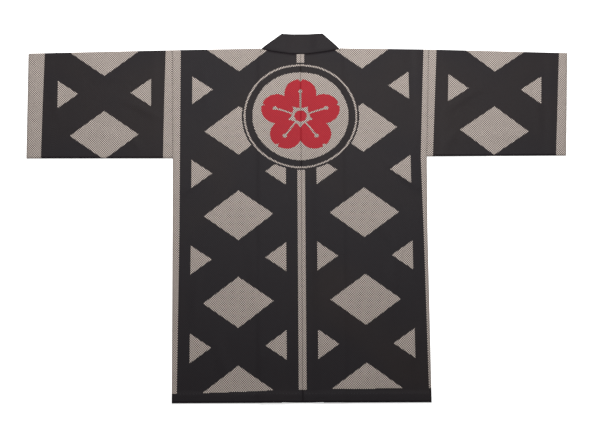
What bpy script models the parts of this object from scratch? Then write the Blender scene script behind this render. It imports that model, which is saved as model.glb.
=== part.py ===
"""Happi coat of stout cotton, laid flat on its front with the back side up.

The cut is a plain loom-width one. Each body panel is one length that runs from the back hem over the
shoulder to the front hem. Each sleeve is one width of cloth folded at the top. The collar is one long
doubled band that runs up one front edge, turns at the neck, crosses the back of the neck and runs down
the other front edge.

Frame: X runs across the coat to the wearer's right, Y runs from hem to collar, Z up. The panels are
drawn with y = 0 at the shoulder, and the finished coat is moved so that the origin lies at the middle
of its box, on the surface that it rests on.
"""

import math

import bpy
import bmesh

MM = 0.001

# Cloth
WALL = 1.2 * MM
BAND_WALL = 2.6 * MM          # the collar is two layers with a thin filling
LAYER_GAP = 0.4 * MM          # between the front and the back where they lie on each other
SEAM_GAP = 0.3 * MM

# Body panels, measured from the shoulder and from the centre back
BODY_LENGTH = 912 * MM
SIDE_COLUMNS = ("below_shoulder", "left_half_width", "right_half_width")
SIDE_ROWS = (
    (0 * MM, 316 * MM, 317 * MM),
    (144 * MM, 314 * MM, 311 * MM),
    (288 * MM, 311 * MM, 305 * MM),
    (476 * MM, 309 * MM, 302 * MM),
    (912 * MM, 306 * MM, 301 * MM),
)
SHOULDER_AT_NECK = 5 * MM     # the shoulder line falls from here ...
SHOULDER_AT_ARM = 1 * MM      # ... to here

# Sleeves: the corners of each as it lies, from the centre back and the shoulder
SLEEVE_COLUMNS = ("cuff_top_x", "cuff_bottom_x", "cuff_top_y", "cuff_bottom_y", "underarm_y")
SLEEVE_ROWS = {
    "left": (669 * MM, 665 * MM, -7 * MM, -288 * MM, -289 * MM),
    "right": (658 * MM, 643 * MM, -10 * MM, -285 * MM, -286 * MM),
}

# Neck and collar
NECK_HALF = 97 * MM
NECK_DIP = -11 * MM           # the neck seam at the centre back
NECK_CORNER = 2 * MM          # and at its ends, just under the shoulder line
BAND_FREE_HALF = 49 * MM      # the band's free edge, from the centre
COLLAR_TOP = 46 * MM
COLLAR_SHIFT = 5 * MM         # the band's top edge lies a little to one side

# How the back sags between the two front bands
SAG_INNER = 18 * MM
SAG_OUTER = 46 * MM
BACK_SAG_HEIGHT = 0.9 * MM
BAND_RAMP = 14 * MM           # the back comes down beside the band over this width

# Mesh steps
BACK_STEPS_BY_STRETCH = (3, 3, 4, 8)      # one stretch between each two rows of the side table
FRONT_STEPS_BY_STRETCH = (2, 2, 3, 5)
SLEEVE_STEPS = 8
SLEEVE_COLUMNS_ACROSS = 10
BEND_STEPS = 6
BAND_STEPS = 26
BAND_ACROSS = 6
NECK_STEPS = 24

BAND_TOP = BAND_WALL + LAYER_GAP
BACK_LOW = WALL + LAYER_GAP


def mix(a, b, t):
    return a + (b - a) * t


def smooth(low, high, value):
    """0 below low, 1 above high, with a soft rise between them."""
    t = min(max((value - low) / (high - low), 0.0), 1.0)
    return t * t * (3.0 - 2.0 * t)


def half_width(side, y):
    """Half width of the body at height y, read from the side table."""
    column = SIDE_COLUMNS.index(side + "_half_width")
    below = -y
    for upper, lower in zip(SIDE_ROWS, SIDE_ROWS[1:]):
        if below <= lower[0]:
            t = max((below - upper[0]) / (lower[0] - upper[0]), 0.0)
            return mix(upper[column], lower[column], t)
    return SIDE_ROWS[-1][column]


def shoulder_y(x):
    """The shoulder fold's height at a distance x from the centre."""
    arm = SIDE_ROWS[0][1]
    return mix(SHOULDER_AT_NECK, SHOULDER_AT_ARM, (x - NECK_HALF) / (arm - NECK_HALF))


def neck_y(x):
    """The back neck seam, a shallow curve between the two shoulder ends."""
    return mix(NECK_DIP, NECK_CORNER, (x / NECK_HALF) ** 2)


def over_band(x):
    """1 where the cloth lies over a front band, 0 where it lies beside one, at a distance x."""
    return 1.0 - smooth(NECK_HALF + 1 * MM, NECK_HALF + BAND_RAMP, x)


def back_height(x):
    """Underside of the back panel at a distance x from the centre."""
    side = mix(BACK_LOW, BAND_TOP, over_band(x))
    return mix(BACK_SAG_HEIGHT, side, smooth(SAG_INNER, SAG_OUTER, x))


def collar_height(x):
    """Underside of the collar behind the neck at a distance x from the centre."""
    return BAND_TOP * smooth(SAG_INNER, SAG_OUTER, x)


def make_material(name, colour, roughness):
    material = bpy.data.materials.new(name)
    material.use_nodes = True
    shader = material.node_tree.nodes["Principled BSDF"]
    shader.inputs["Base Color"].default_value = (*colour, 1.0)
    shader.inputs["Roughness"].default_value = roughness
    shader.inputs["Metallic"].default_value = 0.0
    return material


def thick_sheet(name, nodes, cells, wall, material):
    """A closed wall round a sheet.

    nodes maps a grid place to (middle point, outward direction), and each cell is four places in order
    round the cell as seen from outside. Open edges of the sheet are closed by a strip.
    """
    mesh = bpy.data.meshes.new(name)
    build = bmesh.new()
    outer = {}
    inner = {}
    for key, (point, out) in nodes.items():
        outer[key] = build.verts.new([p + o * wall / 2 for p, o in zip(point, out)])
        inner[key] = build.verts.new([p - o * wall / 2 for p, o in zip(point, out)])
    edges = {}
    for cell in cells:
        build.faces.new([outer[key] for key in cell])
        build.faces.new([inner[key] for key in reversed(cell)])
        for start, end in zip(cell, cell[1:] + cell[:1]):
            edges[(start, end)] = True
    for start, end in edges:
        if (end, start) not in edges:
            build.faces.new([outer[end], outer[start], inner[start], inner[end]])
    bmesh.ops.recalc_face_normals(build, faces=build.faces)
    build.to_mesh(mesh)
    build.free()
    mesh.shade_smooth()
    mesh.set_sharp_from_angle(angle=math.radians(40))
    mesh.materials.append(material)
    thing = bpy.data.objects.new(name, mesh)
    bpy.context.collection.objects.link(thing)
    return thing


def grid_cells(columns, rows, turn):
    """The cells between a range of columns and a range of rows; turn flips their order."""
    cells = []
    for column in columns:
        for row in rows:
            cell = ((column, row), (column + 1, row), (column + 1, row + 1), (column, row + 1))
            cells.append(cell[::-1] if turn else cell)
    return cells


def bend(x, y_outer, z_low, z_high, angle):
    """A point and its outward direction on the fold that joins the back layer to the front one."""
    radius = (z_high - z_low) / 2
    out_y = math.cos(angle)
    out_z = math.sin(angle)
    y_axis = y_outer - radius - WALL / 2
    point = (x, y_axis + radius * out_y, (z_low + z_high) / 2 + radius * out_z)
    return point, (0.0, out_y, out_z)


def body_rows(steps_by_stretch):
    """Places below the shoulder of a body panel's grid lines, which include the side table's rows."""
    rows = [SIDE_ROWS[0][0]]
    for upper, lower, steps in zip(SIDE_ROWS, SIDE_ROWS[1:], steps_by_stretch):
        rows += [mix(upper[0], lower[0], step / steps) for step in range(1, steps + 1)]
    return rows


def body_columns(side, y):
    """Distances of the body's grid lines from the centre at height y, and the neck corner's place."""
    near = [SEAM_GAP / 2, SAG_INNER, 28 * MM, 37 * MM, SAG_OUTER, 60 * MM, 80 * MM, NECK_HALF]
    corner = NECK_HALF + SEAM_GAP
    beside = [corner, corner + BAND_RAMP / 2, corner + BAND_RAMP]
    width = half_width(side, y) - SEAM_GAP / 2
    far = [mix(beside[-1], width, step / 5) for step in range(1, 6)]
    return near + beside + far, len(near)


def body_panel(side, sign, material):
    """One body panel: back, shoulder fold and front in one length of cloth."""
    nodes = {}
    hem = -BODY_LENGTH
    columns, corner = body_columns(side, hem)
    last = len(columns) - 1
    front_z = WALL / 2
    back_rows = body_rows(BACK_STEPS_BY_STRETCH)[::-1]
    front_rows = body_rows(FRONT_STEPS_BY_STRETCH)
    last_back = len(back_rows) - 1
    for row, below in enumerate(back_rows):
        for column, x in enumerate(body_columns(side, -below)[0]):
            reach = back_height(x) + WALL / 2 - front_z
            top = neck_y(x) - SEAM_GAP / 2 if column < corner else shoulder_y(x) - (reach + WALL) / 2
            y = mix(top, hem, below / BODY_LENGTH)
            nodes[(column, row)] = ((sign * x, y, back_height(x) + WALL / 2), (0, 0, 1))
    shoulder = body_columns(side, 0.0)[0]
    for step in range(1, BEND_STEPS):
        angle = math.pi / 2 - math.pi * step / BEND_STEPS
        for column in range(corner, last + 1):
            x = shoulder[column]
            high = back_height(x) + WALL / 2
            point, out = bend(x, shoulder_y(x), front_z, high, angle)
            nodes[(column, last_back + step)] = ((sign * point[0], point[1], point[2]), out)
    first_front = last_back + BEND_STEPS
    for row, below in enumerate(front_rows):
        for column in range(corner, last + 1):
            x = body_columns(side, -below)[0][column]
            reach = back_height(x) + WALL / 2 - front_z
            y = mix(shoulder_y(x) - (reach + WALL) / 2, hem, below / BODY_LENGTH)
            nodes[(column, first_front + row)] = ((sign * x, y, front_z), (0, 0, -1))
    last_row = first_front + len(front_rows) - 1
    turn = sign < 0
    cells = grid_cells(range(last), range(last_back), turn)
    cells += grid_cells(range(corner, last), range(last_back, last_row), turn)
    return thick_sheet("body_" + side, nodes, cells, WALL, material)


def sleeve(side, sign, material):
    """One sleeve: a width of cloth folded at the top, its two lower edges meeting in the seam below."""
    place = dict(zip(SLEEVE_COLUMNS, SLEEVE_ROWS[side]))
    nodes = {}
    low = WALL / 2
    high = BACK_LOW + WALL / 2
    rise = (high - low + WALL) / 2

    def spot(u, v):
        """A point of the sleeve as it lies: u from armhole to cuff, v from the top to the seam."""
        cuff_x = mix(place["cuff_top_x"], place["cuff_bottom_x"], v)
        cuff_y = mix(place["cuff_top_y"], place["cuff_bottom_y"], v)
        arm_y = mix(SHOULDER_AT_ARM, place["underarm_y"], v)
        arm_x = half_width(side, arm_y) + SEAM_GAP / 2
        return mix(arm_x, cuff_x, u), mix(arm_y, cuff_y, u)

    last = SLEEVE_COLUMNS_ACROSS
    first_front = SLEEVE_STEPS + BEND_STEPS
    for column in range(last + 1):
        u = column / last
        x_top, y_top = spot(u, 0.0)
        y_low = spot(u, 1.0)[1]
        for row in range(SLEEVE_STEPS + 1):
            t = row / SLEEVE_STEPS
            y = mix(y_low, y_top - rise, t)
            x = spot(u, (y_top - y) / (y_top - y_low))[0]
            nodes[(column, row)] = ((sign * x, y, high), (0, 0, 1))
            nodes[(column, first_front + SLEEVE_STEPS - row)] = ((sign * x, y, low), (0, 0, -1))
        for step in range(1, BEND_STEPS):
            angle = math.pi / 2 - math.pi * step / BEND_STEPS
            point, out = bend(x_top, y_top, low, high, angle)
            nodes[(column, SLEEVE_STEPS + step)] = ((sign * point[0], point[1], point[2]), out)
    cells = grid_cells(range(last), range(first_front + SLEEVE_STEPS), sign < 0)
    return thick_sheet("sleeve_" + side, nodes, cells, WALL, material)


def collar_turn(sign):
    """The two ends of the slanted fold where the band turns, its outward direction and its radius."""
    radius = BAND_TOP / 2
    sewn = (NECK_HALF, NECK_CORNER)
    free = (BAND_FREE_HALF + sign * COLLAR_SHIFT, COLLAR_TOP)
    run = (free[0] - sewn[0], free[1] - sewn[1])
    length = math.hypot(*run)
    out = (run[1] / length, -run[0] / length)
    inset = radius + BAND_WALL / 2
    sewn = (sewn[0] - inset * out[0], sewn[1])
    free = (free[0] - inset * out[0], free[1] - inset * out[1])
    return sewn, free, out, radius


def collar(material):
    """The collar band from the right front hem round the neck to the left front hem."""
    nodes = {}
    rows = []
    middle = BAND_WALL / 2

    def front_rows(sign):
        sewn_top, free_top, out, radius = collar_turn(sign)
        part = []
        for step in range(BAND_STEPS + 1):
            t = step / BAND_STEPS
            near_top = smooth(0.8, 1.0, t)
            sewn = (mix(NECK_HALF, sewn_top[0], near_top), mix(-BODY_LENGTH, sewn_top[1], t))
            free = (mix(BAND_FREE_HALF, free_top[0], near_top), mix(-BODY_LENGTH, free_top[1], t))
            line = []
            for place in range(BAND_ACROSS + 1):
                w = place / BAND_ACROSS
                point = (sign * mix(sewn[0], free[0], w), mix(sewn[1], free[1], w), middle)
                line.append((point, (0, 0, -1)))
            part.append(line)
        for step in range(1, BEND_STEPS):
            angle = -math.pi / 2 + math.pi * step / BEND_STEPS
            along = math.cos(angle)
            line = []
            for place in range(BAND_ACROSS + 1):
                w = place / BAND_ACROSS
                x = mix(sewn_top[0], free_top[0], w) + radius * along * out[0]
                y = mix(sewn_top[1], free_top[1], w) + radius * along * out[1]
                z = middle + radius + radius * math.sin(angle)
                line.append(((sign * x, y, z), (sign * out[0] * along, out[1] * along, math.sin(angle))))
            part.append(line)
        return part

    rows += front_rows(1)
    right_sewn, right_free = collar_turn(1)[:2]
    left_sewn, left_free = collar_turn(-1)[:2]
    for step in range(NECK_STEPS + 1):
        t = step / NECK_STEPS
        sewn_x = mix(right_sewn[0], -left_sewn[0], t)
        free_x = mix(right_free[0], -left_free[0], t)
        sewn_y = neck_y(abs(sewn_x)) + SEAM_GAP / 2
        free_y = mix(right_free[1], left_free[1], t)
        line = []
        for place in range(BAND_ACROSS + 1):
            w = place / BAND_ACROSS
            x = mix(sewn_x, free_x, w)
            z = collar_height(abs(x)) + middle
            line.append(((x, mix(sewn_y, free_y, w), z), (0, 0, 1)))
        rows.append(line)
    rows += front_rows(-1)[::-1]
    for row, line in enumerate(rows):
        for place, node in enumerate(line):
            nodes[(place, row)] = node
    cells = grid_cells(range(BAND_ACROSS), range(len(rows) - 1), False)
    return thick_sheet("collar", nodes, cells, BAND_WALL, material)


def main():
    for old in list(bpy.data.objects):
        bpy.data.objects.remove(old, do_unlink=True)
    navy = (0.022, 0.020, 0.028)
    pieces = []
    for side, sign in (("left", -1), ("right", 1)):
        cloth = make_material("cotton_body_" + side, navy, 0.85)
        pieces.append(body_panel(side, sign, cloth))
        cloth = make_material("cotton_sleeve_" + side, navy, 0.85)
        pieces.append(sleeve(side, sign, cloth))
    pieces.append(collar(make_material("cotton_collar", (0.018, 0.017, 0.024), 0.8)))

    left = SLEEVE_ROWS["left"][0]
    right = SLEEVE_ROWS["right"][0]
    to_middle = (left - right) / 2
    to_centre = (BODY_LENGTH - COLLAR_TOP) / 2
    for piece in pieces:
        piece.location = (to_middle, to_centre, 0.0)


main()
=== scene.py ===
"""Looks of the happi coat: fine cloth shells, woven lattice, creases, sewing, floor, light and camera."""

import math

import bmesh
import bpy
from mathutils import Matrix, Vector


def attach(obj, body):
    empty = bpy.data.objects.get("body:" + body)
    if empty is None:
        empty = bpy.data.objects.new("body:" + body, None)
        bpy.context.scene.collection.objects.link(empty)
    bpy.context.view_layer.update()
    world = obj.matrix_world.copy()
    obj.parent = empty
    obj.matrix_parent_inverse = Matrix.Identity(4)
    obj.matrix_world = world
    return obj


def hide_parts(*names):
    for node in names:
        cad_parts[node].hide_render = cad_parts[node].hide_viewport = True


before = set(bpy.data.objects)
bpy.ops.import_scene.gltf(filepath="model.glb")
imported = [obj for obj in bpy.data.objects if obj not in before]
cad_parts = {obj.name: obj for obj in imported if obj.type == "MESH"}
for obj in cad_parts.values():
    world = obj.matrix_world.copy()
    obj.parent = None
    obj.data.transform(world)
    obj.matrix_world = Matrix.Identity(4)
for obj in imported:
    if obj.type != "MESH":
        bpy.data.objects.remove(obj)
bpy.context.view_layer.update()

MM = 0.001

# The coat's sizes, as in the part's source; the seams are closed up to a hair
WALL = 1.2 * MM
BAND_WALL = 2.6 * MM
LAYER_GAP = 0.4 * MM
SEAM_GAP = 0.05 * MM
BODY_LENGTH = 912 * MM
SIDE_COLUMNS = ("below_shoulder", "left_half_width", "right_half_width", "left_stripe", "right_stripe")
SIDE_ROWS = (
    (0 * MM, 316 * MM, 317 * MM, 294 * MM, 303 * MM),
    (144 * MM, 314 * MM, 311 * MM, 293.5 * MM, 296 * MM),
    (288 * MM, 311 * MM, 305 * MM, 293 * MM, 289.5 * MM),
    (476 * MM, 309 * MM, 302 * MM, 292 * MM, 292 * MM),
    (912 * MM, 306 * MM, 301 * MM, 294 * MM, 295 * MM),
)
SHOULDER_AT_NECK = 5 * MM
SHOULDER_AT_ARM = 1 * MM
SLEEVE_COLUMNS = ("cuff_top_x", "cuff_bottom_x", "cuff_top_y", "cuff_bottom_y", "underarm_y")
SLEEVE_ROWS = {
    "left": (669 * MM, 665 * MM, -7 * MM, -288 * MM, -289 * MM),
    "right": (658 * MM, 643 * MM, -10 * MM, -285 * MM, -286 * MM),
}
NECK_HALF = 97 * MM
NECK_DIP = -11 * MM
NECK_CORNER = 2 * MM
BAND_FREE_HALF = 49 * MM
COLLAR_TOP = 46 * MM
COLLAR_SHIFT = 5 * MM
SAG_INNER = 18 * MM
SAG_OUTER = 46 * MM
BACK_SAG_HEIGHT = 0.9 * MM
BAND_RAMP = 14 * MM
BAND_TOP = BAND_WALL + LAYER_GAP
BACK_LOW = WALL + LAYER_GAP
BACK_TOP = BACK_LOW + WALL

# From the shoulder and the centre back to the frame's origin
TO_MIDDLE = (SLEEVE_ROWS["left"][0] - SLEEVE_ROWS["right"][0]) / 2
TO_CENTRE = (BODY_LENGTH - COLLAR_TOP) / 2

# Fine mesh steps
CLOTH_STEP = 6 * MM
BEND_STEPS = 8
BAND_ACROSS = 14
NECK_STEPS = 44
EDGE_ROUND = 0.45 * MM

# Turned edges: the cloth is double along the hem and the cuffs
HEM_TURN = 26 * MM
CUFF_TURN = 20 * MM
TURN_RISE = 0.45 * MM
TURN_EDGE = 3 * MM

# Stitches; on the underside a thread lies almost flush, because the coat rests there
UP = Vector((0, 0, 1))
DOWN = Vector((0, 0, -1))
STITCH_RADIUS = 0.22 * MM
UNDER_STITCH = 0.12 * MM
BESIDE_TURN = 1 * MM

# Soft creases. x runs outwards from the centre back or the armhole, y is below the shoulder. A crease
# leans outwards by turn degrees from the lengthwise direction, and bow is how far its ends bend away.
CREASE_COLUMNS = ("x", "y", "half_length", "half_width", "turn", "rise", "bow")
BODY_CREASES = {
    "left": (
        (232 * MM, -112 * MM, 92 * MM, 17 * MM, 8, 0.8 * MM, 5 * MM),
        (256 * MM, -352 * MM, 84 * MM, 15 * MM, -42, 1.1 * MM, 7 * MM),
        (206 * MM, -424 * MM, 118 * MM, 19 * MM, -27, 0.7 * MM, -9 * MM),
        (142 * MM, -238 * MM, 66 * MM, 20 * MM, 5, 0.5 * MM, 3 * MM),
        (116 * MM, -566 * MM, 150 * MM, 22 * MM, 6, 0.8 * MM, 10 * MM),
        (252 * MM, -652 * MM, 128 * MM, 15 * MM, -5, 0.9 * MM, -6 * MM),
        (188 * MM, -806 * MM, 88 * MM, 18 * MM, 12, 0.7 * MM, 4 * MM),
        (88 * MM, -792 * MM, 58 * MM, 15 * MM, -17, 0.5 * MM, 2 * MM),
    ),
    "right": (
        (246 * MM, -96 * MM, 78 * MM, 15 * MM, -10, 0.9 * MM, -4 * MM),
        (246 * MM, -338 * MM, 96 * MM, 14 * MM, -47, 1.2 * MM, 8 * MM),
        (186 * MM, -462 * MM, 112 * MM, 17 * MM, -33, 0.7 * MM, -7 * MM),
        (136 * MM, -196 * MM, 58 * MM, 18 * MM, 13, 0.5 * MM, 3 * MM),
        (214 * MM, -612 * MM, 156 * MM, 19 * MM, 4, 0.9 * MM, 12 * MM),
        (106 * MM, -688 * MM, 118 * MM, 21 * MM, -8, 0.7 * MM, -5 * MM),
        (262 * MM, -778 * MM, 72 * MM, 15 * MM, 9, 0.8 * MM, 3 * MM),
        (158 * MM, -846 * MM, 48 * MM, 14 * MM, 68, 0.5 * MM, -2 * MM),
    ),
}
SLEEVE_CREASES = {
    "left": (
        (72 * MM, -158 * MM, 88 * MM, 15 * MM, 60, 1.0 * MM, 6 * MM),
        (148 * MM, -72 * MM, 88 * MM, 16 * MM, 81, 0.6 * MM, -5 * MM),
        (186 * MM, -214 * MM, 98 * MM, 15 * MM, 74, 0.8 * MM, 7 * MM),
        (284 * MM, -138 * MM, 66 * MM, 16 * MM, 9, 0.6 * MM, 3 * MM),
        (92 * MM, -246 * MM, 46 * MM, 13 * MM, 38, 0.7 * MM, 2 * MM),
    ),
    "right": (
        (86 * MM, -132 * MM, 84 * MM, 15 * MM, 54, 1.1 * MM, 6 * MM),
        (168 * MM, -62 * MM, 78 * MM, 15 * MM, 98, 0.5 * MM, -4 * MM),
        (162 * MM, -226 * MM, 104 * MM, 16 * MM, 84, 0.8 * MM, 5 * MM),
        (268 * MM, -166 * MM, 78 * MM, 17 * MM, -7, 0.7 * MM, -4 * MM),
        (58 * MM, -238 * MM, 42 * MM, 13 * MM, 31, 0.8 * MM, 2 * MM),
    ),
}
FRONT_SHARE = 0.45            # the front lies flat, with fainter creases than the back
EDGE_SHARE = 0.4              # what is left of a crease at a hem or cuff

# Over these widths the creases fade out
SEAM_FADE = 24 * MM
CENTRE_FADE = 44 * MM
SHOULDER_FADE = (10 * MM, 44 * MM)
HEM_FADE = 40 * MM
UNDERARM_FADE = 22 * MM
SLEEVE_FOLD_FADE = (2 * MM, 26 * MM)
CUFF_FADE = 36 * MM

# The woven lattice
REPEAT = 223 * MM
CROSSINGS = {"left": -104.5 * MM, "right": -98 * MM}
PANEL_CENTRE = 151 * MM
DIAMOND_HALF_WIDTH = 83.5 * MM
DIAMOND_HALF_HEIGHT = 64.5 * MM
TRIANGLE_TIP = 64 * MM
TRIANGLE_BASE = 114 * MM
TRIANGLE_HALF_HEIGHT = 37 * MM
STRIPE_START = 141.5 * MM
REPEATS_TO_HEM_BAND = 3.5
SLANT = {"left": 0.034, "right": -0.012}      # the cloth lies a little askew on each side
SLEEVE_PATTERN_COLUMNS = ("centre", "crossing", "arm_top", "arm_bottom", "cuff_top", "cuff_bottom")
SLEEVE_PATTERN = {
    "left": (166 * MM, -113.5 * MM, 15 * MM, 23 * MM, 313 * MM, 319 * MM),
    "right": (163 * MM, -103 * MM, 19 * MM, 15 * MM, 320 * MM, 313 * MM),
}

# The weave: rows of pale floats, set like the squares of a chessboard, each of a few threads
FLOAT_WIDE = 2.64 * MM
FLOAT_LONG = 3.0 * MM
THREAD = FLOAT_WIDE / 4
STEP_SHARE = 0.5              # figures are stepped to half a float

# The roundel on the back
CREST_AT = (-0.7 * MM, -178 * MM)
RING_OUTER = 138.6 * MM
RING_WIDTH = 4.4 * MM
RING_MARGIN = 4.5 * MM
DISC = 117.3 * MM

# Colours, linear
DARK = (0.0084, 0.0066, 0.0084, 1.0)
DARK_DOT = (0.0122, 0.0094, 0.0116, 1.0)
# Painted reflection: a brownish glare tint, mixed into the dark ground in large soft patches
DARK_PAINTED_GLARE = (0.0140, 0.0096, 0.0088, 1.0)
PALE = (0.550, 0.480, 0.424, 1.0)
PALE_GAP = (0.074, 0.058, 0.058, 1.0)
RED = (0.400, 0.016, 0.026, 1.0)
RED_GAP = (0.230, 0.008, 0.016, 1.0)
NAVY_THREAD = (0.016, 0.014, 0.020, 1.0)


def mix(a, b, t):
    return a + (b - a) * t


def smooth(low, high, value):
    """0 below low, 1 above high, with a soft rise between them."""
    t = min(max((value - low) / (high - low), 0.0), 1.0)
    return t * t * (3.0 - 2.0 * t)


def side_value(name, y):
    """A column of the side table at height y."""
    column = SIDE_COLUMNS.index(name)
    below = -y
    for upper, lower in zip(SIDE_ROWS, SIDE_ROWS[1:]):
        if below <= lower[0]:
            t = max((below - upper[0]) / (lower[0] - upper[0]), 0.0)
            return mix(upper[column], lower[column], t)
    return SIDE_ROWS[-1][column]


def half_width(side, y):
    return side_value(side + "_half_width", y)


def shoulder_y(x):
    arm = SIDE_ROWS[0][1]
    return mix(SHOULDER_AT_NECK, SHOULDER_AT_ARM, (x - NECK_HALF) / (arm - NECK_HALF))


def neck_y(x):
    return mix(NECK_DIP, NECK_CORNER, (x / NECK_HALF) ** 2)


def over_band(x):
    return 1.0 - smooth(NECK_HALF + 1 * MM, NECK_HALF + BAND_RAMP, x)


def back_height(x):
    side = mix(BACK_LOW, BAND_TOP, over_band(x))
    return mix(BACK_SAG_HEIGHT, side, smooth(SAG_INNER, SAG_OUTER, x))


def collar_height(x):
    return BAND_TOP * smooth(SAG_INNER, SAG_OUTER, x)


def swell(t):
    return (1.0 - t * t) ** 2 if abs(t) < 1.0 else 0.0


def crease_rise(creases, x, y):
    """How far the creases of a panel lift the cloth at a place."""
    total = 0.0
    for row in creases:
        crease = dict(zip(CREASE_COLUMNS, row))
        turn = math.radians(crease["turn"])
        from_x = x - crease["x"]
        from_y = y - crease["y"]
        along = (from_x * math.sin(turn) + from_y * math.cos(turn)) / crease["half_length"]
        across = from_x * math.cos(turn) - from_y * math.sin(turn) - crease["bow"] * along * along
        total += crease["rise"] * swell(along) * swell(across / crease["half_width"])
    return total


def body_rise(side, x, y):
    """Creases of a body panel, which fade out at its seams, at the shoulder and partly at the hem."""
    beside_seam = smooth(0.0, SEAM_FADE, half_width(side, y) - x) * smooth(0.0, CENTRE_FADE, x)
    at_shoulder = smooth(*SHOULDER_FADE, -y)
    at_hem = mix(EDGE_SHARE, 1.0, smooth(0.0, HEM_FADE, y + BODY_LENGTH))
    return crease_rise(BODY_CREASES[side], x, y) * beside_seam * at_shoulder * at_hem


def sleeve_rise(side, run, width, depth, deep):
    """Creases of a sleeve: run of width from armhole to cuff, depth of deep below the fold."""
    beside_seam = smooth(0.0, SEAM_FADE, run) * smooth(0.0, UNDERARM_FADE, deep - depth)
    at_fold = smooth(*SLEEVE_FOLD_FADE, depth)
    at_cuff = mix(EDGE_SHARE, 1.0, smooth(0.0, CUFF_FADE, width - run))
    return crease_rise(SLEEVE_CREASES[side], run, -depth) * beside_seam * at_fold * at_cuff


def turned_edge(inside, turn):
    """Rise of the double cloth along a turned edge, at a distance inside that edge."""
    return TURN_RISE * (1.0 - smooth(turn - TURN_EDGE, turn, inside))


class Maths:
    """Short way to write sums in a material's nodes."""

    def __init__(self, tree):
        self.tree = tree

    def op(self, operation, *values):
        node = self.tree.nodes.new("ShaderNodeMath")
        node.operation = operation
        for socket, value in zip(node.inputs, values):
            if isinstance(value, (int, float)):
                socket.default_value = value
            else:
                self.tree.links.new(value, socket)
        return node.outputs[0]

    def length(self, one, other):
        squares = self.op("ADD", self.op("MULTIPLY", one, one), self.op("MULTIPLY", other, other))
        return self.op("SQRT", squares)

    def blend(self, factor, low, high):
        """A colour between low and high; each is a colour or a socket."""
        node = self.tree.nodes.new("ShaderNodeMix")
        node.data_type = "RGBA"
        self.tree.links.new(factor, node.inputs["Factor"])
        for name, value in (("A", low), ("B", high)):
            socket = [s for s in node.inputs if s.name == name and s.type == "RGBA"][0]
            if isinstance(value, tuple):
                socket.default_value = value
            else:
                self.tree.links.new(value, socket)
        return [s for s in node.outputs if s.type == "RGBA"][0]

    def ramp(self, value, low, high):
        node = self.tree.nodes.new("ShaderNodeMapRange")
        node.interpolation_type = "SMOOTHSTEP"
        self.tree.links.new(value, node.inputs["Value"])
        node.inputs["From Min"].default_value = low
        node.inputs["From Max"].default_value = high
        return node.outputs["Result"]

    def noise(self, place, scale, detail):
        node = self.tree.nodes.new("ShaderNodeTexNoise")
        node.inputs["Scale"].default_value = scale
        node.inputs["Detail"].default_value = detail
        self.tree.links.new(place, node.inputs["Vector"])
        return node.outputs["Fac"]

    def waves(self, value, half_wave):
        return self.op("SINE", self.op("MULTIPLY", value, math.pi / half_wave))


def cloth_places(sums):
    """The cloth's own coordinates in metres, from the map named cloth."""
    where = sums.tree.nodes.new("ShaderNodeUVMap")
    where.uv_map = "cloth"
    split = sums.tree.nodes.new("ShaderNodeSeparateXYZ")
    sums.tree.links.new(where.outputs["UV"], split.inputs[0])
    return where.outputs["UV"], split.outputs["X"], split.outputs["Y"]


def stepped(sums, value, size):
    """A coordinate held at the middle of each of its steps."""
    step = size * STEP_SHARE
    return sums.op("ADD", sums.op("SNAP", value, step), step / 2)


def lattice(sums, across, along, centre, crossing):
    """1 in the pale figures: diamonds, side triangles and edge stripes, stepped to the weave."""
    aside = sums.op("ABSOLUTE", sums.op("SUBTRACT", across, centre))
    from_diamond = sums.op("PINGPONG", sums.op("SUBTRACT", along, crossing + REPEAT / 2), REPEAT / 2)
    from_crossing = sums.op("SUBTRACT", REPEAT / 2, from_diamond)
    wide = sums.op("DIVIDE", aside, DIAMOND_HALF_WIDTH)
    tall = sums.op("DIVIDE", from_diamond, DIAMOND_HALF_HEIGHT)
    diamond = sums.op("LESS_THAN", sums.op("ADD", wide, tall), 1.0)
    depth = sums.op("DIVIDE", sums.op("SUBTRACT", aside, TRIANGLE_TIP), TRIANGLE_BASE - TRIANGLE_TIP)
    height = sums.op("DIVIDE", from_crossing, TRIANGLE_HALF_HEIGHT)
    in_slope = sums.op("GREATER_THAN", sums.op("SUBTRACT", depth, height), 0.0)
    triangle = sums.op("MULTIPLY", in_slope, sums.op("LESS_THAN", aside, TRIANGLE_BASE))
    stripe = sums.op("GREATER_THAN", aside, STRIPE_START)
    return sums.op("MAXIMUM", sums.op("MAXIMUM", diamond, triangle), stripe)


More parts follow.
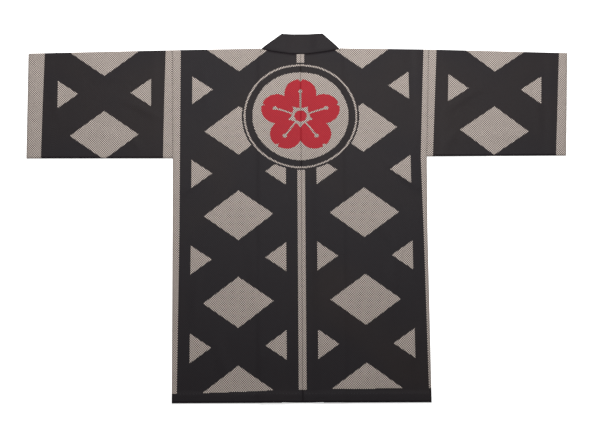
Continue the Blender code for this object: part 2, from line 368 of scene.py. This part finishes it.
def crest(sums, across, along, pale):
    """A plain roundel over the lattice: a thin ring, a pale disc and a red five-petal blossom.

    Returns the pale mask with the roundel in it, and the red mask.
    """
    petal_place = 60 * MM
    petal_size = 39 * MM
    notch_half = 5 * MM
    notch_start = 92 * MM
    notch_depth = 7 * MM
    heart = 15 * MM
    heart_gap = 21 * MM
    stamen_half = 1.9 * MM
    stamen_end = 66 * MM
    seed_size = 5 * MM
    beside = sums.op("SUBTRACT", across, CREST_AT[0])
    below = sums.op("SUBTRACT", along, CREST_AT[1])
    radius = sums.length(beside, below)
    outside = sums.op("GREATER_THAN", radius, RING_OUTER + RING_MARGIN)
    ring = sums.op("MULTIPLY", sums.op("LESS_THAN", radius, RING_OUTER),
                   sums.op("GREATER_THAN", radius, RING_OUTER - RING_WIDTH))
    in_disc = sums.op("LESS_THAN", radius, DISC)
    pale = sums.op("MAXIMUM", sums.op("MULTIPLY", pale, outside), sums.op("MAXIMUM", ring, in_disc))
    # Turn the plane into one petal's wedge
    wedge = math.radians(72)
    turned = sums.op("PINGPONG", sums.op("ARCTAN2", beside, below), wedge / 2)
    out = sums.op("MULTIPLY", radius, sums.op("COSINE", turned))
    aside = sums.op("MULTIPLY", radius, sums.op("SINE", turned))
    petal = sums.op("LESS_THAN", sums.length(sums.op("SUBTRACT", out, petal_place), aside), petal_size)
    notch_width = sums.op("MULTIPLY", sums.op("SUBTRACT", out, notch_start), notch_half / notch_depth)
    whole = sums.op("GREATER_THAN", aside, notch_width)
    clear_of_heart = sums.op("GREATER_THAN", radius, heart_gap)
    narrow = sums.op("LESS_THAN", aside, stamen_half)
    stamen = sums.op("MULTIPLY", narrow, sums.op("LESS_THAN", out, stamen_end))
    seed = sums.op("LESS_THAN", sums.length(sums.op("SUBTRACT", out, stamen_end), aside), seed_size)
    closed = sums.op("SUBTRACT", 1.0, sums.op("MAXIMUM", stamen, seed))
    flower = sums.op("MULTIPLY", petal, whole)
    flower = sums.op("MULTIPLY", flower, sums.op("MULTIPLY", clear_of_heart, closed))
    red = sums.op("MAXIMUM", flower, sums.op("LESS_THAN", radius, heart))
    return pale, red


def woven(name, centre=None, crossing=0.0, hem_band=None, slant=0.0, with_crest=False):
    """Stout cotton of dark ground and pale floats; centre=None leaves it plain dark."""
    material = bpy.data.materials.new(name)
    material.use_nodes = True
    tree = material.node_tree
    shader = tree.nodes["Principled BSDF"]
    sums = Maths(tree)
    place, across, along = cloth_places(sums)
    slub = sums.noise(place, 900.0, 2.0)
    cloud = sums.noise(place, 9.0, 4.0)
    # Where the painted reflection falls: large soft patches of brownish glare tint on the dark ground
    painted_glare_patches = sums.noise(place, 3.1, 2.0)
    checks = sums.op("MULTIPLY", sums.waves(across, FLOAT_WIDE), sums.waves(along, FLOAT_LONG))
    uneven = sums.op("MULTIPLY", sums.op("SUBTRACT", slub, 0.5), 0.3)
    grain = sums.ramp(sums.op("ADD", checks, uneven), -0.12, 0.30)
    threads = sums.op("MULTIPLY", sums.waves(across, THREAD / 2), 0.5)
    picks = sums.op("MULTIPLY", sums.waves(along, FLOAT_LONG / 8), 0.5)
    ground_weave = sums.op("MULTIPLY", threads, picks)
    # The dark ground, with brownish painted glare in soft patches and the tone-on-tone dots of the weave
    dark = sums.blend(grain, sums.blend(sums.ramp(painted_glare_patches, 0.42, 0.66), DARK, DARK_PAINTED_GLARE), DARK_DOT)
    colour = dark
    raised = sums.op("MULTIPLY", grain, 0.35)
    if centre is not None:
        step_across = stepped(sums, across, FLOAT_WIDE)
        step_along = stepped(sums, along, FLOAT_LONG)
        offset = sums.op("ABSOLUTE", step_across) if hem_band is not None else step_across
        from_centre = sums.op("SUBTRACT", offset, centre)
        slanted = sums.op("ADD", step_along, sums.op("MULTIPLY", from_centre, slant))
        pale = lattice(sums, offset, slanted, centre, crossing)
        if hem_band is not None:
            above_hem = sums.op("LESS_THAN", sums.op("ABSOLUTE", slanted), hem_band)
            pale = sums.op("MULTIPLY", pale, above_hem)
        red = None
        if with_crest:
            pale, red = crest(sums, step_across, step_along, pale)
        colour = sums.blend(pale, dark, sums.blend(grain, PALE_GAP, PALE))
        raised = sums.op("MULTIPLY", grain, sums.op("ADD", sums.op("MULTIPLY", pale, 0.65), 0.35))
        if red is not None:
            colour = sums.blend(red, colour, sums.blend(grain, RED_GAP, RED))
    tone = sums.op("ADD", sums.op("MULTIPLY", slub, 0.26), sums.op("MULTIPLY", cloud, 0.20))
    tone = sums.op("ADD", sums.op("ADD", tone, 0.77), sums.op("MULTIPLY", threads, 0.10))
    toned = tree.nodes.new("ShaderNodeVectorMath")
    toned.operation = "SCALE"
    tree.links.new(colour, toned.inputs[0])
    tree.links.new(tone, toned.inputs["Scale"])
    tree.links.new(toned.outputs[0], shader.inputs["Base Color"])
    rough = sums.op("ADD", sums.op("MULTIPLY", slub, 0.12), 0.46)
    tree.links.new(rough, shader.inputs["Roughness"])
    shader.inputs["Sheen Weight"].default_value = 0.015
    shader.inputs["Sheen Roughness"].default_value = 0.5
    shader.inputs["Specular IOR Level"].default_value = 0.09
    bump = tree.nodes.new("ShaderNodeBump")
    bump.inputs["Distance"].default_value = 0.35 * MM
    bump.inputs["Strength"].default_value = 0.6
    relief = sums.op("ADD", raised, sums.op("MULTIPLY", slub, 0.35))
    relief = sums.op("ADD", relief, sums.op("MULTIPLY", sums.op("ADD", threads, ground_weave), 0.22))
    tree.links.new(relief, bump.inputs["Height"])
    tree.links.new(bump.outputs["Normal"], shader.inputs["Normal"])
    return material


def thread_material(name, colour):
    material = bpy.data.materials.new(name)
    material.use_nodes = True
    tree = material.node_tree
    shader = tree.nodes["Principled BSDF"]
    sums = Maths(tree)
    where = tree.nodes.new("ShaderNodeTexCoord")
    fibre = sums.noise(where.outputs["Object"], 2600.0, 1.0)
    lighter = tuple(channel * 2.2 for channel in colour[:3]) + (1.0,)
    tree.links.new(sums.blend(fibre, colour, lighter), shader.inputs["Base Color"])
    shader.inputs["Roughness"].default_value = 0.62
    shader.inputs["Sheen Weight"].default_value = 0.05
    return material


def move_to_frame(point):
    return point[0] + TO_MIDDLE, point[1] + TO_CENTRE, point[2]


def new_piece(name, verts, faces, material):
    mesh = bpy.data.meshes.new(name)
    mesh.from_pydata(verts, [], faces)
    mesh.shade_smooth()
    mesh.materials.append(material)
    piece = bpy.data.objects.new(name, mesh)
    bpy.context.collection.objects.link(piece)
    return piece


def cloth_object(name, nodes, cells, material):
    """A thin closed shell with rounded edges round a sheet.

    nodes maps a grid place to (middle point, outward direction, cloth place, wall); a cell is four grid
    places in order.
    """
    directed = set()
    for cell in cells:
        for start, end in zip(cell, cell[1:] + cell[:1]):
            directed.add((start, end))
    border = [edge for edge in directed if (edge[1], edge[0]) not in directed]
    border.sort()
    push = {}
    for start, end in border:
        run = Vector(nodes[end][0]) - Vector(nodes[start][0])
        side = run.cross(Vector(nodes[start][1])).normalized()
        for key in (start, end):
            push.setdefault(key, []).append(side)
    verts = []
    places = []
    index = {}

    def add(kind, key, point):
        index[(kind, key)] = len(verts)
        verts.append(move_to_frame(point))
        places.append(nodes[key][2])

    for key, (point, out, place, wall) in nodes.items():
        middle = Vector(point)
        outward = Vector(out)
        inset = Vector((0, 0, 0))
        if key in push:
            sides = push[key]
            best = sum(sides, Vector((0, 0, 0))).normalized()
            reach = max(best.dot(sides[0]), 0.5)
            inset = best * (EDGE_ROUND / reach)
            add("edge", key, middle)
        add("outer", key, middle + outward * wall / 2 - inset)
        add("inner", key, middle - outward * wall / 2 - inset)
    faces = []
    for cell in cells:
        faces.append([index[("outer", key)] for key in cell])
        faces.append([index[("inner", key)] for key in reversed(cell)])
    for start, end in border:
        rim_start = index[("edge", start)]
        rim_end = index[("edge", end)]
        faces.append([index[("outer", end)], index[("outer", start)], rim_start, rim_end])
        faces.append([rim_end, rim_start, index[("inner", start)], index[("inner", end)]])
    piece = new_piece(name, verts, faces, material)
    cloth_map = piece.data.uv_layers.new(name="cloth")
    flat = []
    for loop in piece.data.loops:
        flat.extend(places[loop.vertex_index])
    cloth_map.data.foreach_set("uv", flat)
    return piece


def grid_cells(columns, rows, turn):
    cells = []
    for column in columns:
        for row in rows:
            cell = ((column, row), (column + 1, row), (column + 1, row + 1), (column, row + 1))
            cells.append(cell[::-1] if turn else cell)
    return cells


def bend(x, y_outer, z_low, z_high, angle):
    radius = (z_high - z_low) / 2
    out_y = math.cos(angle)
    out_z = math.sin(angle)
    y_axis = y_outer - radius - WALL / 2
    return (x, y_axis + radius * out_y, (z_low + z_high) / 2 + radius * out_z), (0.0, out_y, out_z)


def stretch(stops, step):
    """Places between named stops, about one step apart."""
    places = [stops[0]]
    for start, end in zip(stops, stops[1:]):
        count = max(round(abs(end - start) / step), 1)
        places += [mix(start, end, part / count) for part in range(1, count + 1)]
    return places


def body_columns(side, y):
    width = half_width(side, y) - SEAM_GAP / 2
    corner = NECK_HALF + SEAM_GAP
    near = stretch([SEAM_GAP / 2, SAG_INNER, SAG_OUTER, NECK_HALF], 4.5 * MM)
    ramp = stretch([corner, corner + BAND_RAMP], 3.5 * MM)
    count = 34
    far = [mix(ramp[-1], width, part / count) for part in range(1, count + 1)]
    return near + ramp + far, len(near)


def body_place(side, x, y):
    """The cloth's own x: the edge stripe keeps its place beside the seam as the panel narrows."""
    drift = PANEL_CENTRE + STRIPE_START - side_value(side + "_stripe", y)
    return x + drift * smooth(272 * MM, 288 * MM, x)


def body_panel(side, sign, material):
    nodes = {}
    hem = -BODY_LENGTH
    front_z = WALL / 2
    turn_start = BODY_LENGTH - HEM_TURN
    stops = [row[0] for row in SIDE_ROWS[:-1]] + [turn_start, turn_start + TURN_EDGE, BODY_LENGTH]
    below_rows = stretch(stops, CLOTH_STEP)
    corner = body_columns(side, hem)[1]
    last = len(body_columns(side, hem)[0]) - 1
    last_back = len(below_rows) - 1
    for row, below in enumerate(reversed(below_rows)):
        for column, x in enumerate(body_columns(side, -below)[0]):
            reach = back_height(x) + WALL / 2 - front_z
            top = neck_y(x) - SEAM_GAP / 2 if column < corner else shoulder_y(x) - (reach + WALL) / 2
            y = mix(top, hem, below / BODY_LENGTH)
            rise = body_rise(side, x, y) + turned_edge(y - hem, HEM_TURN)
            point = (sign * x, y, back_height(x) + WALL / 2 + rise)
            nodes[(column, row)] = (point, (0, 0, 1), (sign * body_place(side, x, y), y), WALL)
    shoulder = body_columns(side, 0.0)[0]
    for step in range(1, BEND_STEPS):
        angle = math.pi / 2 - math.pi * step / BEND_STEPS
        for column in range(corner, last + 1):
            x = shoulder[column]
            high = back_height(x) + WALL / 2
            point, out = bend(x, shoulder_y(x), front_z, high, angle)
            v = mix(-1.0, 1.0, step / BEND_STEPS) * MM
            place = (sign * body_place(side, x, 0.0), v)
            nodes[(column, last_back + step)] = ((sign * point[0], point[1], point[2]), out, place, WALL)
    first_front = last_back + BEND_STEPS
    for row, below in enumerate(below_rows):
        for column in range(corner, last + 1):
            x = body_columns(side, -below)[0][column]
            reach = back_height(x) + WALL / 2 - front_z
            y = mix(shoulder_y(x) - (reach + WALL) / 2, hem, below / BODY_LENGTH)
            beside_band = smooth(NECK_HALF, NECK_HALF + 3 * BAND_RAMP, x)
            rise = FRONT_SHARE * body_rise(side, x, y) * beside_band
            place = (sign * body_place(side, x, y), -y)
            nodes[(column, first_front + row)] = ((sign * x, y, front_z + rise), (0, 0, -1), place, WALL)
    last_row = first_front + len(below_rows) - 1
    turn = sign < 0
    cells = grid_cells(range(last), range(last_back), turn)
    cells += grid_cells(range(corner, last), range(last_back, last_row), turn)
    return cloth_object("cloth_body_" + side, nodes, cells, material)


def sleeve_place(pattern, run, depth_share):
    """The cloth's own run: the stripes at the armhole and the cuff keep the places that they have."""
    arm = mix(pattern["arm_top"], pattern["arm_bottom"], depth_share)
    cuff = mix(pattern["cuff_top"], pattern["cuff_bottom"], depth_share)
    arm_drift = pattern["centre"] - STRIPE_START - arm
    cuff_drift = pattern["centre"] + STRIPE_START - cuff
    near_arm = 1.0 - smooth(26 * MM, 46 * MM, run)
    near_cuff = smooth(284 * MM, 300 * MM, run)
    return run + arm_drift * near_arm + cuff_drift * near_cuff


def sleeve(side, sign, material):
    place = dict(zip(SLEEVE_COLUMNS, SLEEVE_ROWS[side]))
    pattern = dict(zip(SLEEVE_PATTERN_COLUMNS, SLEEVE_PATTERN[side]))
    nodes = {}
    low = WALL / 2
    high = BACK_LOW + WALL / 2
    bend_rise = (high - low + WALL) / 2

    def spot(u, v):
        cuff_x = mix(place["cuff_top_x"], place["cuff_bottom_x"], v)
        cuff_y = mix(place["cuff_top_y"], place["cuff_bottom_y"], v)
        arm_y = mix(SHOULDER_AT_ARM, place["underarm_y"], v)
        arm_x = half_width(side, arm_y) + SEAM_GAP / 2
        return mix(arm_x, cuff_x, u), mix(arm_y, cuff_y, u)

    def width_at(v):
        return spot(1.0, v)[0] - spot(0.0, v)[0]

    length = width_at(0.0)
    runs = stretch([0.0, length - CUFF_TURN, length - CUFF_TURN + TURN_EDGE, length], CLOTH_STEP)
    last = len(runs) - 1
    steps = round(288 * MM / CLOTH_STEP)
    first_front = steps + BEND_STEPS
    for column, top_run in enumerate(runs):
        u = top_run / length
        x_top, y_top = spot(u, 0.0)
        y_low = spot(u, 1.0)[1]
        for row in range(steps + 1):
            y = mix(y_low, y_top - bend_rise, row / steps)
            depth = (y_top - y) / (y_top - y_low)
            x = spot(u, depth)[0]
            run = u * width_at(depth)
            rise = sleeve_rise(side, run, width_at(depth), y_top - y, y_top - y_low)
            edge = turned_edge(width_at(depth) - run, CUFF_TURN) * smooth(0.0, 12 * MM, y_top - y)
            own = sleeve_place(pattern, run, depth)
            top_point = (sign * x, y, high + rise + edge)
            under_point = (sign * x, y, low + FRONT_SHARE * rise)
            nodes[(column, row)] = (top_point, (0, 0, 1), (own, y - y_top), WALL)
            nodes[(column, first_front + steps - row)] = (under_point, (0, 0, -1), (own, y_top - y), WALL)
        for step in range(1, BEND_STEPS):
            angle = math.pi / 2 - math.pi * step / BEND_STEPS
            point, out = bend(x_top, y_top, low, high, angle)
            own = (sleeve_place(pattern, top_run, 0.0), mix(-bend_rise, bend_rise, step / BEND_STEPS))
            nodes[(column, steps + step)] = ((sign * point[0], point[1], point[2]), out, own, WALL)
    cells = grid_cells(range(last), range(first_front + steps), sign < 0)
    return cloth_object("cloth_sleeve_" + side, nodes, cells, material)


def collar_turn(sign):
    radius = BAND_TOP / 2
    sewn = (NECK_HALF, NECK_CORNER)
    free = (BAND_FREE_HALF + sign * COLLAR_SHIFT, COLLAR_TOP)
    run = (free[0] - sewn[0], free[1] - sewn[1])
    length = math.hypot(*run)
    out = (run[1] / length, -run[0] / length)
    inset = radius + BAND_WALL / 2
    sewn = (sewn[0] - inset * out[0], sewn[1])
    free = (free[0] - inset * out[0], free[1] - inset * out[1])
    return sewn, free, out, radius


def band_wall(w):
    """Thickness of the collar: thin where it is sewn on, then full, and thinner again at its fold."""
    return mix(WALL + 0.1 * MM, BAND_WALL, smooth(0.0, 0.2, w)) - 0.6 * MM * smooth(0.93, 1.0, w)


def collar(material):
    nodes = {}
    rows = []
    band_steps = round(BODY_LENGTH / CLOTH_STEP)
    shares = [place / BAND_ACROSS for place in range(BAND_ACROSS + 1)]

    def front_rows(sign):
        sewn_top, free_top, out, radius = collar_turn(sign)
        part = []
        for step in range(band_steps + 1):
            t = step / band_steps
            near_top = smooth(0.8, 1.0, t)
            sewn = (mix(NECK_HALF, sewn_top[0], near_top), mix(-BODY_LENGTH, sewn_top[1], t))
            free = (mix(BAND_FREE_HALF, free_top[0], near_top), mix(-BODY_LENGTH, free_top[1], t))
            line = []
            for w in shares:
                point = (sign * mix(sewn[0], free[0], w), mix(sewn[1], free[1], w), band_wall(w) / 2)
                line.append((point, (0, 0, -1)))
            part.append(line)
        for step in range(1, BEND_STEPS):
            angle = -math.pi / 2 + math.pi * step / BEND_STEPS
            along = math.cos(angle)
            line = []
            for w in shares:
                x = mix(sewn_top[0], free_top[0], w) + radius * along * out[0]
                y = mix(sewn_top[1], free_top[1], w) + radius * along * out[1]
                z = band_wall(w) / 2 + radius + radius * math.sin(angle)
                line.append(((sign * x, y, z), (sign * out[0] * along, out[1] * along, math.sin(angle))))
            part.append(line)
        return part

    rows += front_rows(1)
    right_sewn, right_free = collar_turn(1)[:2]
    left_sewn, left_free = collar_turn(-1)[:2]
    for step in range(NECK_STEPS + 1):
        t = step / NECK_STEPS
        sewn_x = mix(right_sewn[0], -left_sewn[0], t)
        free_x = mix(right_free[0], -left_free[0], t)
        sewn_y = neck_y(abs(sewn_x)) + SEAM_GAP / 2
        free_y = mix(right_free[1], left_free[1], t)
        line = []
        for w in shares:
            x = mix(sewn_x, free_x, w)
            at_seam = 1.0 - smooth(0.0, 0.24, w)
            under = mix(collar_height(abs(x)), back_height(abs(x)), at_seam)
            line.append(((x, mix(sewn_y, free_y, w), under + band_wall(w) / 2), (0, 0, 1)))
        rows.append(line)
    rows += front_rows(-1)[::-1]
    along = 0.0
    for row, line in enumerate(rows):
        if row:
            here = Vector(line[BAND_ACROSS // 2][0])
            along += (here - Vector(rows[row - 1][BAND_ACROSS // 2][0])).length
        for place, (point, out) in enumerate(line):
            w = shares[place]
            nodes[(place, row)] = (point, out, (w * 50 * MM, along), band_wall(w))
    cells = grid_cells(range(BAND_ACROSS), range(len(rows) - 1), False)
    return cloth_object("cloth_collar", nodes, cells, material)


def add_stitch(verts, faces, middle, direction, up, length, radius):
    """One short thread lying on the cloth: a bent rod of five sides that dips in at both ends."""
    sides = 5
    stations = ((-0.5, -0.9, 0.35), (-0.3, 0.1, 0.9), (0.0, 0.35, 1.0), (0.3, 0.1, 0.9), (0.5, -0.9, 0.35))
    across = direction.cross(up).normalized()
    first = len(verts)
    for along, lift, share in stations:
        for side in range(sides):
            angle = 2 * math.pi * side / sides
            point = middle + direction * (along * length) + up * (lift * radius)
            point = point + (across * math.cos(angle) + up * math.sin(angle)) * (radius * share)
            verts.append(move_to_frame(point))
    for ring in range(len(stations) - 1):
        for side in range(sides):
            start = first + ring * sides + side
            following = first + ring * sides + (side + 1) % sides
            faces.append([start, following, following + sides, start + sides])
    faces.append([first + side for side in reversed(range(sides))])
    faces.append([first + (len(stations) - 1) * sides + side for side in range(sides)])


def stitch_row(verts, faces, path, up, pitch, length, radius, turn=0.0):
    """Stitches along a path of points, a pitch apart; turn sets each across the path."""
    left_over = pitch / 2
    for start, end in zip(path, path[1:]):
        start = Vector(start)
        run = Vector(end) - start
        direction = run.normalized()
        spin = Matrix.Rotation(turn, 3, up)
        place = left_over
        while place < run.length:
            add_stitch(verts, faces, start + direction * place, spin @ direction, up, length, radius)
            place += pitch
        left_over = place - run.length


def sewing(name, rows, material):
    verts = []
    faces = []
    for row in rows:
        stitch_row(verts, faces, **row)
    return new_piece(name, verts, faces, material)


def seam_places(start, end, step):
    count = max(round(abs(end - start) / step), 1)
    return [mix(start, end, part / count) for part in range(count + 1)]


def armhole_rows(side, sign):
    """Small threads across the armhole seam, on the back and under the front."""
    place = dict(zip(SLEEVE_COLUMNS, SLEEVE_ROWS[side]))
    heights = seam_places(-6 * MM, place["underarm_y"] + 3 * MM, 24 * MM)
    thread = dict(pitch=3.6 * MM, length=1.7 * MM, radius=STITCH_RADIUS, turn=math.radians(90))
    rows = []
    for surface, facing in ((BACK_TOP - STITCH_RADIUS, UP), (STITCH_RADIUS, DOWN)):
        path = [(sign * half_width(side, y), y, surface) for y in heights]
        rows.append(dict(path=path, up=facing, **thread))
    return rows


def hem_rows(side, sign):
    """The row that holds the turned hem, above its edge."""
    y = -(BODY_LENGTH - HEM_TURN + TURN_EDGE + BESIDE_TURN)
    clear_of_centre = 4 * MM
    clear_of_side = 4 * MM
    clear_of_band = 6 * MM
    path = []
    for x in body_columns(side, y)[0]:
        if x > clear_of_centre:
            rise = body_rise(side, x, y) + TURN_RISE
            path.append((sign * x, y, back_height(x) + WALL + rise))
    under_ends = (NECK_HALF + clear_of_band, half_width(side, y) - clear_of_side)
    under_path = [(sign * x, y, UNDER_STITCH) for x in under_ends]
    thread = dict(pitch=7.5 * MM, length=2.4 * MM, radius=STITCH_RADIUS)
    return [dict(path=path, up=UP, **thread), dict(path=under_path, up=DOWN, **thread)]


def cuff_rows(side, sign):
    """The row that holds the turned cuff, beside its edge."""
    place = dict(zip(SLEEVE_COLUMNS, SLEEVE_ROWS[side]))
    deep = place["cuff_top_y"] - place["cuff_bottom_y"]
    path = []
    under_path = []
    for share in seam_places(0.05, 0.98, 0.05):
        cuff_x = mix(place["cuff_top_x"], place["cuff_bottom_x"], share)
        cuff_y = mix(place["cuff_top_y"], place["cuff_bottom_y"], share)
        arm_y = mix(SHOULDER_AT_ARM, place["underarm_y"], share)
        arm_x = half_width(side, arm_y)
        run = cuff_x - arm_x - CUFF_TURN + TURN_EDGE + BESIDE_TURN
        x = arm_x + run
        y = mix(arm_y, cuff_y, run / (cuff_x - arm_x))
        rise = sleeve_rise(side, run, cuff_x - arm_x, deep * share, deep)
        path.append((sign * x, y, BACK_TOP + rise + TURN_RISE))
        under_path.append((sign * x, y, UNDER_STITCH))
    thread = dict(pitch=7 * MM, length=2.2 * MM, radius=STITCH_RADIUS)
    return [dict(path=path, up=UP, **thread), dict(path=under_path, up=DOWN, **thread)]


def collar_rows(side, sign):
    """The row along the collar band's sewn edge, on the underside."""
    x = sign * (NECK_HALF - 2.2 * MM)
    path = [(x, y, UNDER_STITCH) for y in (-BODY_LENGTH + 4 * MM, -0.3 * BODY_LENGTH)]
    return [dict(path=path, up=DOWN, pitch=6 * MM, length=3.2 * MM, radius=STITCH_RADIUS)]


def seam_rows():
    """Stitch rows, by the name of the sewing piece that they belong to."""
    makers = {"armholes": armhole_rows, "hem": hem_rows, "cuffs": cuff_rows, "collar": collar_rows}
    return {place: rows_of("left", -1) + rows_of("right", 1) for place, rows_of in makers.items()}


def back_allowance(material):
    """The two raw edges of the centre-back seam, pressed open under the back."""
    half = 11 * MM
    thick = 0.3 * MM
    low = 0.35 * MM
    steps = 60
    nodes = {}
    for row in range(steps + 1):
        y = mix(-BODY_LENGTH + 2 * MM, NECK_DIP - 6 * MM, row / steps)
        for column, x in enumerate((-half, -half / 2, 0.0, half / 2, half)):
            nodes[(column, row)] = ((x, y, low + thick / 2), (0, 0, 1), (x, y), thick)
    return cloth_object("seam_allowance_back", nodes, grid_cells(range(4), range(steps), False), material)


def neck_allowance(material):
    """The raw edge of the neck seam, which lies under the back and the collar band."""
    half = 4 * MM
    reach = 76 * MM
    thick = 0.25 * MM
    steps = 48
    nodes = {}
    for column in range(steps + 1):
        x = mix(-reach, reach, column / steps)
        low = mix(0.3 * MM, BAND_WALL + 0.05 * MM, smooth(SAG_INNER, SAG_OUTER, abs(x)))
        for row in range(5):
            y = neck_y(abs(x)) + mix(-half, half, row / 4)
            nodes[(column, row)] = ((x, y, low + thick / 2), (0, 0, 1), (x, y), thick)
    return cloth_object("seam_allowance_neck", nodes, grid_cells(range(steps), range(4), False), material)


def make_floor():
    mesh = bpy.data.meshes.new("floor")
    build = bmesh.new()
    bmesh.ops.create_grid(build, x_segments=1, y_segments=1, size=9.0)
    build.to_mesh(mesh)
    build.free()
    material = bpy.data.materials.new("floor_paper")
    material.use_nodes = True
    shader = material.node_tree.nodes["Principled BSDF"]
    shader.inputs["Base Color"].default_value = (0.92, 0.92, 0.92, 1.0)
    shader.inputs["Roughness"].default_value = 0.9
    shader.inputs["Emission Color"].default_value = (1.0, 1.0, 1.0, 1.0)
    shader.inputs["Emission Strength"].default_value = 0.6
    mesh.materials.append(material)
    floor = bpy.data.objects.new("floor", mesh)
    floor.location.z = -0.0002
    bpy.context.collection.objects.link(floor)


def make_lights():
    """Even light from all round, and a soft lamp past the collar that fades towards the hem."""
    world = bpy.data.worlds.new("studio")
    world.use_nodes = True
    tree = world.node_tree
    background = tree.nodes["Background"]
    background.inputs["Color"].default_value = (1.0, 1.0, 1.0, 1.0)
    background.inputs["Strength"].default_value = 0.20
    backdrop = tree.nodes.new("ShaderNodeBackground")
    backdrop.inputs["Color"].default_value = (0.9, 0.9, 0.9, 1.0)
    seen = tree.nodes.new("ShaderNodeLightPath")
    choose = tree.nodes.new("ShaderNodeMixShader")
    tree.links.new(seen.outputs["Is Camera Ray"], choose.inputs[0])
    tree.links.new(background.outputs[0], choose.inputs[1])
    tree.links.new(backdrop.outputs[0], choose.inputs[2])
    tree.links.new(choose.outputs[0], tree.nodes["World Output"].inputs["Surface"])
    bpy.context.scene.world = world
    lamp = bpy.data.lights.new("soft_top", "AREA")
    lamp.shape = "RECTANGLE"
    lamp.size = 1.6
    lamp.size_y = 0.7
    lamp.energy = 57.0
    light = bpy.data.objects.new("soft_top", lamp)
    light.location = (0.1, 1.15, 1.7)
    aim = Vector((0.0, 0.25, 0.0)) - light.location
    light.rotation_euler = aim.to_track_quat("-Z", "Y").to_euler()
    bpy.context.collection.objects.link(light)


def make_camera():
    """The photograph's angle: long lens, leaning a little towards the hem."""
    tilt = math.radians(22.0)
    yaw = math.radians(-0.5)
    roll = math.radians(0.36)
    distance = 6.3
    pixels_per_metre = 1 / 0.0024
    picture_width = 599
    sensor = 36.0
    target = Vector((-4.9 * MM + TO_MIDDLE, -457.5 * MM + TO_CENTRE, 0.0))
    back = Vector((math.sin(yaw) * math.cos(tilt), -math.sin(tilt), math.cos(tilt) * math.cos(yaw))).normalized()
    right = Vector((math.sin(roll), math.cos(roll), 0.0)).cross(back).normalized()
    up = back.cross(right)
    turn = Matrix((right, up, back)).transposed().to_4x4()
    data = bpy.data.cameras.new("camera")
    data.sensor_width = sensor
    data.lens = pixels_per_metre * distance / picture_width * sensor
    data.clip_end = 50.0
    camera = bpy.data.objects.new("camera", data)
    camera.matrix_world = Matrix.Translation(target + back * distance) @ turn
    bpy.context.collection.objects.link(camera)
    bpy.context.scene.camera = camera


def main():
    make_camera()
    make_floor()
    make_lights()
    bpy.context.scene.view_settings.view_transform = "Standard"
    made = {}
    for side, sign in (("left", -1), ("right", 1)):
        crossing = CROSSINGS[side]
        hem_band = REPEATS_TO_HEM_BAND * REPEAT - crossing
        cloth = woven("woven_body_" + side, PANEL_CENTRE, crossing, hem_band, SLANT[side], with_crest=True)
        made["body_" + side] = body_panel(side, sign, cloth)
        pattern = dict(zip(SLEEVE_PATTERN_COLUMNS, SLEEVE_PATTERN[side]))
        cloth = woven("woven_sleeve_" + side, pattern["centre"], pattern["crossing"])
        made["sleeve_" + side] = sleeve(side, sign, cloth)
    plain = woven("woven_collar")
    made["collar"] = collar(plain)
    for node, piece in made.items():
        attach(piece, "root")
        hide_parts(node)
    inside = woven("woven_allowance")
    for allowance in (back_allowance(inside), neck_allowance(inside)):
        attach(allowance, "root")
    thread = thread_material("thread_navy", NAVY_THREAD)
    for place, rows in seam_rows().items():
        stitches = sewing("stitches_" + place, rows, thread)
        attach(stitches, "root")


main()
